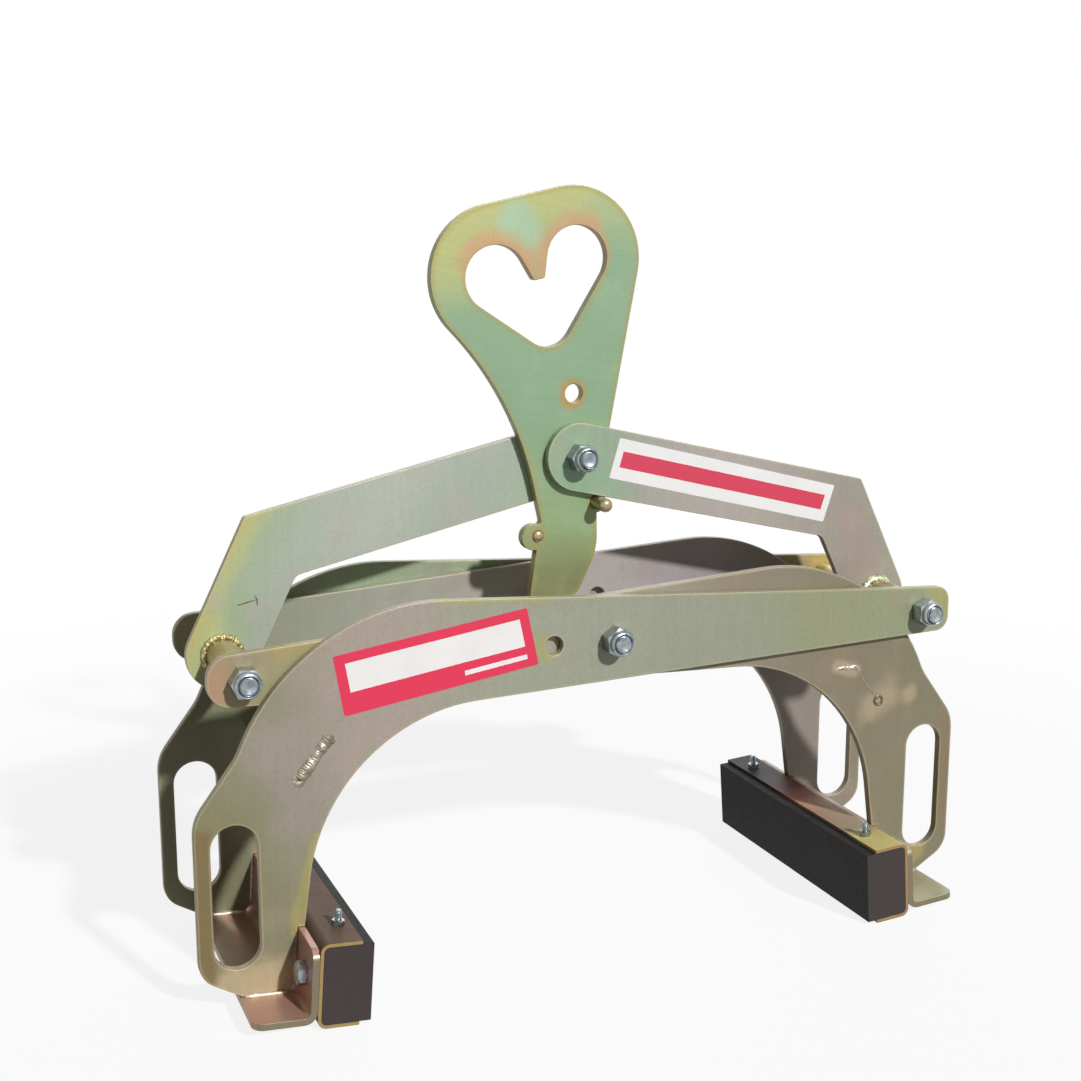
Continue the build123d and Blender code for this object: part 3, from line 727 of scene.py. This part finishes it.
# %% Node tree for threads
def new_tree(name, inputs):
    """Geometry node tree with named inputs, the function that adds its nodes, and the inputs' sockets."""
    tree = bpy.data.node_groups.new(name, "GeometryNodeTree")
    for label, kind in {"Geometry": "Geometry", **inputs, "Material": "Material"}.items():
        tree.interface.new_socket(label, in_out="INPUT", socket_type="NodeSocket" + kind)
    tree.interface.new_socket("Geometry", in_out="OUTPUT", socket_type="NodeSocketGeometry")
    add = partial(node, tree)
    return tree, add, add("NodeGroupInput").node.outputs


def end_tree(add, given, geometry):
    """Ends a tree with plain geometry in its material."""
    real = add("GeometryNodeRealizeInstances", {"Geometry": geometry})
    painted = add("GeometryNodeSetMaterial", {"Geometry": real, "Material": given["Material"]})
    add("NodeGroupOutput", {"Geometry": painted})


def from_tree(tree, source, values):
    """Plain mesh that a tree makes from a source mesh."""
    holder = bpy.data.objects.new("tree_holder", source)
    modifier = holder.modifiers.new(tree.name, "NODES")
    modifier.node_group = tree
    sockets = {item.name: item.identifier for item in tree.interface.items_tree if item.in_out == "INPUT"}
    for label, value in values.items():
        modifier[sockets[label]] = value
    return finished(holder)


THREAD = 0.54  # depth of a thread in pitches
thread_tree, add, given = new_tree(
    "bolt_thread", dict.fromkeys(("Root Radius", "Ridge", "Pitch", "Start", "Turns"), "Float"))
height = add(MATH, {0: given["Pitch"], 1: given["Turns"]}, operation="MULTIPLY")
spiral = add("GeometryNodeCurveSpiral", {
    "Resolution": 24, "Rotations": given["Turns"], "Start Radius": given["Root Radius"],
    "End Radius": given["Root Radius"], "Height": height, "Reverse": False})
upright = add("GeometryNodeSetCurveNormal", {"Curve": spiral}, mode="Z_UP")
diamond = add("GeometryNodeCurvePrimitiveCircle", {"Resolution": 4, "Radius": 1.0}, mode="RADIUS")
half_pitch = add(MATH, {0: given["Pitch"], 1: 0.46}, operation="MULTIPLY")
section = add("ShaderNodeCombineXYZ", {"X": given["Ridge"], "Y": half_pitch, "Z": 1.0})
diamond = add("GeometryNodeTransform", {"Geometry": diamond, "Scale": section})
ridge = add("GeometryNodeCurveToMesh", {"Curve": upright, "Profile Curve": diamond, "Fill Caps": True})
lifted = add("ShaderNodeCombineXYZ", {"Z": given["Start"]})
ridge = add("GeometryNodeTransform", {"Geometry": ridge, "Translation": lifted})
joined = add("GeometryNodeJoinGeometry", {0: ridge})
feed(joined.node, {0: given["Geometry"]})
end_tree(add, given, joined)


def threaded(body, size, pitch, start, end):
    """A turned bolt with a thread between two heights, in mm."""
    depth = THREAD * pitch
    return from_tree(thread_tree, body, {
        "Root Radius": (size / 2 - depth) * MM, "Ridge": depth * MM, "Pitch": pitch * MM, "Start": start * MM,
        "Turns": (end - start) / pitch, "Material": thread_finish})


print("thread tree nodes", len(thread_tree.nodes))

# %% [markdown]
# ## Fasteners on their points
# Nuts, bolts and screws repeat all over the grab. One tree puts a shape on every point it is given, turned
# the same way as its hole, and spins each about its own axis by a random amount from a fixed seed, as nobody
# lines up nuts.

# %% Node tree that repeats a fastener
repeat_tree, add, given = new_tree(
    "fasteners_on_points", {"Shape": "Object", "Direction": "Vector", "Seed": "Int"})
shape = add("GeometryNodeObjectInfo", {"Object": given["Shape"], "As Instance": True}, out="Geometry")
way = add("FunctionNodeEulerToRotation", {0: given["Direction"]})
points = given["Geometry"]
copies = add("GeometryNodeInstanceOnPoints", {"Points": points, "Instance": shape, "Rotation": way})
spin = add("FunctionNodeRandomValue", {2: 0.0, 3: 2 * pi, "Seed": given["Seed"]}, out=1, data_type="FLOAT")
spin = add("FunctionNodeEulerToRotation", {0: add("ShaderNodeCombineXYZ", {"Z": spin})})
copies = add("GeometryNodeRotateInstances", {"Instances": copies, "Rotation": spin, "Local Space": True})
end_tree(add, given, copies)


def fasten(name, shape_mesh, points, direction, seed, material, like, stands=True):
    """Shows a shape repeated on points as one piece."""
    repeats = from_tree(repeat_tree, new_mesh("points", points), {
        "Shape": bpy.data.objects.new("shape", shape_mesh), "Direction": direction, "Seed": seed,
        "Material": material})
    show(name, repeats, material, like, stands)


print("repeat tree nodes", len(repeat_tree.nodes))

# %% [markdown]
# ## The four M16 bolts
# Each bolt comes from behind and its lock nut sits at the front. A nylon ring shows in the nut's crown, and
# the bolt's end is turned with a small chamfer and a shallow dish.

# %% Bolts and lock nuts
TO_FRONT = (radians(90), 0.0, 0.0)
HEAD = 10.0  # height of a bolt's head
PITCH = 2.0  # of an M16 thread
THREADED = 24.0  # length of the thread
core = M16 / 2 - THREAD * PITCH
for number, place in enumerate(("pivot", "right_end", "left_end", "top")):
    nut, bolt = place + "_nut", place + "_bolt"
    low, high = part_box(nut)
    seat = Vector(((low.x + high.x) / 2, high.y, (low.z + high.z) / 2))
    fasten(place + "_lock_nut", lock_nut, [seat], TO_FRONT, 5 + number, zinc_finish, nut)
    fasten(place + "_lock_ring", lock_ring, [seat], TO_FRONT, 0, nylon_finish, nut, stands=False)
    low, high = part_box(bolt)
    seat.y = high.y - HEAD * MM
    reach = (high.y - low.y) / MM - HEAD
    start = reach - THREADED
    turned = turned_shape(bolt + "_body", [
        (4.0, -HEAD), (11.2, -HEAD), (nut_flat, -HEAD, "low"), (nut_flat, -0.6, "hex"), (11.3, -0.6),
        (11.2, 0.0), (M16 / 2, 0.0), (M16 / 2, start - 1.0), (core, start), (core, reach - 0.7),
        (core - 0.7, reach), (core - 1.4, reach - 0.1), (core / 2, reach - 1.0)])
    turned = threaded(turned, M16, PITCH, start, reach - 1.6)
    fasten(place + "_hex_bolt", turned, [seat], TO_FRONT, 11 + number, thread_finish, bolt)
    print(place, "bolt reach in mm", round(reach, 1))

# %% [markdown]
# ## Bolts and screws of the pads
# The pads lean inwards by four degrees, and their fasteners lean with them. A helper gives a point on a pad
# from its distance inward and up, so that each bolt, screw and nut lands where the CAD model has its hole.

# %% Pad fasteners
LEAN = radians(4)
PAD_BACK = 295.0  # back of a channel from the middle, in mm
PAD_BASE = 36.0 * sin(LEAN)
SCREW_LOW, SCREW_TOP = 0.2, 89.0  # ends of the long screws
screw_core = M6 / 2 - THREAD


def on_pad(inward_by, up, y, side):
    """Point on a pad in mm; side is -1 on the left and 1 on the right."""
    x = -PAD_BACK + inward_by * cos(LEAN) + up * sin(LEAN)
    return Vector((-side * x, y, PAD_BASE - inward_by * sin(LEAN) + up * cos(LEAN)))


pad_bolt = turned_shape("pad_bolt_body", [
    (3.0, -7.5), (8.6, -7.5), (9.5, -7.3, "low"), (9.5, -0.6, "hex"), (8.9, -0.6), (8.8, 0.0), (M12 / 2, 0.0),
    (M12 / 2, 20.4), (5.3, 21.1), (3.0, 21.1)])
pad_screw = turned_shape("pad_screw_body", [
    (1.7, 2.0), (1.9, 0.0), (5.9, 0.0), (6.0, 0.2), (3.0, 3.1), (3.0, 60.0), (screw_core, 61.0),
    (screw_core, SCREW_TOP - 0.7), (screw_core - 0.5, SCREW_TOP - SCREW_LOW), (1.0, SCREW_TOP - SCREW_LOW)])
pad_screw = threaded(pad_screw, M6, 1.0, 62.0, SCREW_TOP - 1.2)
for side, hand in ((-1, "left_pad_"), (1, "right_pad_")):
    across, upright = (0.0, -side * (pi / 2 + LEAN), 0.0), (0.0, -side * LEAN, 0.0)
    for kind, shape, (inward_by, up, apart), way, seed, finish, like in (
            ("hex_bolts", pad_bolt, (-6, 40, 118), across, 3, zinc_finish, "bolts"),
            ("countersunk_screws", pad_screw, (24.1, SCREW_LOW, 108), upright, 4, thread_finish, "screws"),
            ("small_nuts", screw_nut, (24.1, 75, 108), upright, 9, zinc_finish, "screw_nuts")):
        points = [on_pad(inward_by, up, y, side) * MM for y in (-apart, apart)]
        fasten(hand + kind, shape, points, way, seed, finish, hand + like)
    pocket = frame["nodes"][hand + "nuts"]
    pocket.data.materials.clear()
    pocket.data.materials.append(zinc_finish)

# %% [markdown]
# ## Stop pins
# The two stop pins are short bars through the lifting plate with a rounded front end, where they were
# dressed after welding. A loop profile with a few steps of a quarter circle makes the dome.

# %% Stop pins
for name, dome in (("right_stop_pin", 4.5), ("left_stop_pin", 2.6)):
    low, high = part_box(name)
    radius, length = (high.x - low.x) / 2 / MM, (high.y - low.y) / MM
    loops = [(radius - 0.5, 0.0), (radius, 0.5), (radius, length - dome)]
    for bend in (radians(step) for step in (20, 40, 60, 78)):
        loops.append((radius * (1 - 0.98 * (1 - cos(bend))), length - dome * (1 - sin(bend))))
    pin = turned_shape(name, loops)
    seat = Matrix.Translation(((low.x + high.x) / 2, high.y, (low.z + high.z) / 2))
    pin.transform(seat @ Euler(TO_FRONT).to_matrix().to_4x4())
    show(name + "_domed", pin, pin_finish, name)

# %% [markdown]
# ## Weld beads
# The sleeves, the feet and the ends of the spreaders are welded by hand. A bead is a row of overlapping
# ripples along a path, so Geometry Nodes sweep a circle along the path, let its size rise and fall with the
# ripples, and roughen it with noise from a fixed seed. Bead width, ripple pitch, end taper and roughness are
# inputs.

# %% Node tree for weld beads
weld_tree, add, given = new_tree(
    "weld_bead", dict.fromkeys(("Width", "Ripple", "Taper", "Lumps", "Seed"), "Float"))
path = add("GeometryNodeMeshToCurve", {"Mesh": given["Geometry"]})
fifth = add(MATH, {0: given["Ripple"], 1: 0.2}, operation="MULTIPLY")
path = add("GeometryNodeResampleCurve", {"Curve": path, "Length": fifth}, mode="LENGTH")
run = add("GeometryNodeSplineParameter", out="Length")
left = add(MATH, {0: add("GeometryNodeSplineLength", out="Length"), 1: run}, operation="SUBTRACT")
near_end = add(MATH, {0: run, 1: left}, operation="MINIMUM")
taper = add(RANGE, {0: near_end, 1: 0.0, 2: given["Taper"], 3: 0.45, 4: 1.0})
ripple = add(MATH, {0: run, 1: given["Ripple"]}, operation="DIVIDE")
ripple = add(MATH, {0: ripple}, operation="FRACT")
ripple = add(RANGE, {0: ripple, 3: 1.0, 4: 0.93})
place = add("GeometryNodeInputPosition")
lump, rough = (
    add(NOISE, {"Vector": place, "W": given["Seed"], "Scale": 1 / (size * MM), "Detail": detail},
        noise_dimensions="4D")
    for size, detail in ((9, 2.0), (3, 3.0)))
lump = add(RANGE, {0: lump, 1: 0.25, 2: 0.75, 3: 0.9, 4: 1.1})
size = given["Width"]
for factor in (0.5, taper, ripple, lump):
    size = add(MATH, {0: size, 1: factor}, operation="MULTIPLY")
circle = add("GeometryNodeCurvePrimitiveCircle", {"Resolution": 24, "Radius": 1.0}, mode="RADIUS")
bead = add("GeometryNodeCurveToMesh", {
    "Curve": path, "Profile Curve": circle, "Scale": size, "Fill Caps": True})
rough = add(MATH, {0: rough, 1: 0.5}, operation="SUBTRACT")
rough = add(MATH, {0: rough, 1: given["Lumps"]}, operation="MULTIPLY")
push = add("ShaderNodeVectorMath", {0: add("GeometryNodeInputNormal"), "Scale": rough}, operation="SCALE")
bead = add("GeometryNodeSetPosition", {"Geometry": bead, "Offset": push})
bead = add("GeometryNodeSetShadeSmooth", {"Geometry": bead, "Shade Smooth": True})
end_tree(add, given, bead)
print("weld tree nodes", len(weld_tree.nodes))

# %% [markdown]
# ## Where the beads are
# A ring of weld joins each sleeve to its link on both faces. At the feet a bead runs along the sole on both
# sides of every leg, and up the upright on the inner side. The tabs of the spreaders are plug welded through
# the arms, and those of the inner arms were ground nearly flush. A smear and two scribed strokes are made as
# thin beads.

# %% Weld beads in place
SOLE_TOP, UPRIGHT = 11.0, -6.0  # faces of a foot that a leg is welded to, up from and inward of the channel
NO_TAPER = 0.01  # a closed ring has no ends


def weld(name, like, paths, width, ripple, lumps, seed, material, taper=4.0, closed=False):
    """Weld beads along paths of points. All lengths are in mm."""
    points, edges = [], []
    for path in paths:
        start, count = len(points), len(path)
        points += [Vector(p) * MM for p in path]
        edges += [(start + k, start + (k + 1) % count) for k in range(count if closed else count - 1)]
    beads = from_tree(weld_tree, new_mesh("weld_path", points, edges), {
        "Width": width * MM, "Ripple": ripple * MM, "Taper": (NO_TAPER if closed else taper) * MM,
        "Lumps": lumps * MM, "Seed": seed, "Material": material})
    show(name, beads, material, like, stands=False)


def circle_path(x, z, radius, y):
    """Points of a circle in a plane across Y."""
    turns = [2 * pi * k / 40 for k in range(40)]
    return [(x + radius * cos(t), y, z + radius * sin(t)) for t in turns]


for hand, x, width, finish in (("right_", 333, 7.4, pale_finish), ("left_", -333, 5.6, weld_finish)):
    low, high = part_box(hand + "link")
    rings = [circle_path(x, 292, 16.8, y) for y in (low.y / MM - 0.4, high.y / MM + 0.4)]
    weld(hand + "sleeve_welds", hand + "link", rings, width, 2.5, 5.0, 3.0 + x * MM, finish, closed=True)

for side, hand, jaw in ((-1, "left_", "outer"), (1, "right_", "inner")):
    along_sole, up_upright = [], []
    for arm, way in (("_arm_front", 1), ("_arm_rear", -1)):
        low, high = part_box(jaw + arm)
        outer, inner = (low.y / MM - 1.0, high.y / MM + 1.0)[::way]
        for y in (outer, inner):
            along_sole.append([on_pad(k, SOLE_TOP + 0.8, y, side) for k in (-14, -24, -34, -44, -50)])
        up_upright.append([on_pad(UPRIGHT - 0.8, k, inner, side) for k in (20, 32, 44, 56, 66)])
    weld(hand + "sole_welds", hand + "foot", along_sole, 5.0, 9.0, 0.8, 7.0 + side, sole_finish)
    # The upright beads take the darker plug-weld finish as painted shade, for the shadow they stand in.
    weld(hand + "upright_welds", hand + "foot", up_upright, 4.0, 9.0, 0.8, 9.0 + side, plug_finish)

# Each jaw's plug welds: depth below the face, bead and lumps, then the crater's radius, bead and finish.
for jaw, side, depth, bead, lumps, radius, rim, finish in (
        ("outer", -1, 3.4, 13.0, 4.5, 3.8, 8.6, plug_finish),
        ("inner", 1, 0.6, 2.2, 0.6, 4.4, 3.4, mark_finish)):
    for arm, way in ((jaw + "_arm_front", -1), (jaw + "_arm_rear", 1)):
        low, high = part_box(arm)
        y = (low.y if way < 0 else high.y) / MM - way * depth
        start, end = (Vector((-side * x, y, z)) for x, z in ((-292.0, 203.0), (-262.5, 239.5)))
        tab = [start.lerp(end, k / 6) for k in range(7)]
        weld(arm + "_plug_weld", arm, [tab], bead, 2.2, lumps, 11.0 + side + way, plug_finish, taper=2.0)
        crater = circle_path(start.x, start.z, radius, y)
        weld(arm + "_crater", arm, [crater], rim, 3.0, 1.2, 21.0 + side + way, finish, closed=True)

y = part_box("inner_arm_front")[0].y / MM + 0.9
smear = [(x, y, z) for x, z in ((241, 240), (249, 241), (258, 240), (264, 241), (269, 235))]
weld("inner_arm_front_smear", "inner_arm_front", [smear], 4.6, 5.0, 2.8, 2.0, smear_finish, taper=5.0)
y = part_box("left_link")[0].y / MM + 0.3
strokes = [[(x, y, z) for x, z in points] for points in (
    ((-319, 335), (-310, 337), (-301, 339)), ((-303, 343), (-301, 339), (-301, 333)))]
weld("left_link_marks", "left_link", strokes, 1.3, 4.0, 0.3, 5.0, mark_finish, taper=2.0)

# %% [markdown]
# ## Blank labels
# Two vinyl labels sit on the front: one on the arm and one on the link. They are cut with small round
# corners, are a fifth of a millimetre thick and carry plain bands only. Each has its own UV map, so the
# print follows the label.

# %% Labels
CORNER, CORNER_STEPS, THICK = 1.5, 4, 0.2  # radius and steps of a corner, and thickness, in mm


def label(name, like, corners, material):
    """Thin sheet with small round corners on a node's front, from its corners in order round it, in mm."""
    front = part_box(like)[0].y
    a, b, c, d = (Vector(p) for p in corners)
    width, height = (b - a).length, (d - a).length
    flat = []
    right, top = width - CORNER, height - CORNER
    for k, (u, v) in enumerate(((CORNER, CORNER), (right, CORNER), (right, top), (CORNER, top))):
        for j in range(CORNER_STEPS + 1):
            turn = pi + (k + j / CORNER_STEPS) * pi / 2
            flat.append(((u + CORNER * cos(turn)) / width, (v + CORNER * sin(turn)) / height))
    count = len(flat)
    points = []
    for depth in (0.0, THICK * MM):
        for u, v in flat:
            x, z = a.lerp(b, u).lerp(d.lerp(c, u), v) * MM
            points.append((x, front - depth, z))
    faces = [tuple(range(count, 2 * count)), tuple(range(count))[::-1]]
    faces += [(k, (k + 1) % count, count + (k + 1) % count, count + k) for k in range(count)]
    mesh = new_mesh(name, points, faces=faces)
    uv = mesh.uv_layers.new(name="label")
    for corner in mesh.loops:
        uv.data[corner.index].uv = flat[corner.vertex_index % count]
    outward(mesh)
    show(name, mesh, material, like, stands=False)
    print(name, "size in mm", round(width), round(height))


label("red_label", "outer_arm_front", [(-251, 254), (-74, 281), (-85, 333), (-260, 307)], red_label_finish)
label("white_label", "right_link", [(30, 430), (266, 372), (278, 408), (41, 467)], white_label_finish)

# %% [markdown]
# ## Floor, light and camera
# A sun stands in front and to the right, as high as the shadows on the plates say. A weak wide lamp behind
# lets the back be seen, and a pale dome fills the rest. The floor and the dome look white to the camera and
# in reflections, which keeps the light itself plain.

# %% Stage
FLOOR = 12.0  # half the floor's width in metres


def seen(add):
    """1 for a ray from the camera, or by way of gloss or glass, and 0 for one that lights the object."""
    rays = add("ShaderNodeLightPath").node.outputs
    share = rays["Is Camera Ray"]
    for kind in ("Is Glossy Ray", "Is Transmission Ray"):
        share = add(MATH, {0: share, 1: rays[kind]}, operation="MAXIMUM")
    return share


corners = [(x * FLOOR, y * FLOOR, 0) for x, y in ((-1, -1), (1, -1), (1, 1), (-1, 1))]
floor_mesh = new_mesh("floor", corners, faces=[(0, 1, 2, 3)])
floor = bpy.data.objects.new("floor", floor_mesh)
scene.collection.objects.link(floor)
floor.location.z = -0.5 * MM
floor_finish, add, shader, coords = new_material("white_studio_floor")
floor_finish.node_tree.nodes.remove(shader)
white = add("ShaderNodeEmission", {"Color": srgb("ffffff"), "Strength": 1.0})
view = seen(add)
matt = add("ShaderNodeBsdfDiffuse", {"Color": add(RANGE, {0: view, 3: 0.2, 4: 0.92})})
away = add("ShaderNodeVectorMath", {0: coords}, out="Value", operation="LENGTH")
fade = add(RANGE, {0: away, 1: 0.5, 2: 1.6, 3: 0.86, 4: 1.0}, **SOFT)
fade = add(MATH, {0: fade, 1: view}, operation="MULTIPLY")
both = add("ShaderNodeMixShader", {0: fade, 1: matt, 2: white})
feed(floor_finish.node_tree.nodes["Material Output"], {"Surface": both})
floor_mesh.materials.append(floor_finish)

world = bpy.data.worlds.new("pale_dome")
scene.world = world
world.use_nodes = True
add = partial(node, world.node_tree)
dome = add(RANGE, {0: seen(add), 3: 0.06, 4: 1.0})
feed(world.node_tree.nodes["Background"], {"Color": srgb("ffffff"), "Strength": dome})

# Name, way the light goes, strength and width: the slopes of the sun are those of the shadows on the plates.
LAMPS = [("sun", (-0.305, 1.0, -0.66), 3.4, radians(3)), ("back_fill", (-0.5, -1.0, -0.3), 0.9, radians(60))]
for name, way, strength, wide in LAMPS:
    lamp = bpy.data.objects.new(name, bpy.data.lights.new(name, "SUN"))
    lamp.data.energy = strength
    lamp.data.angle = wide
    lamp.rotation_euler = Vector(way).to_track_quat("-Z", "Y").to_euler()
    scene.collection.objects.link(lamp)

camera = bpy.data.objects.new("camera", bpy.data.cameras.new("camera"))
camera.data.lens = 52.03
camera.data.sensor_width = 36
camera.location = (-0.584, -1.3234, 0.650)
camera.rotation_euler = (radians(90 - 10.95), 0, radians(-22.57))
scene.collection.objects.link(camera)
scene.camera = camera
scene.view_settings.view_transform = "Standard"
print("camera", [round(v, 3) for v in camera.location])
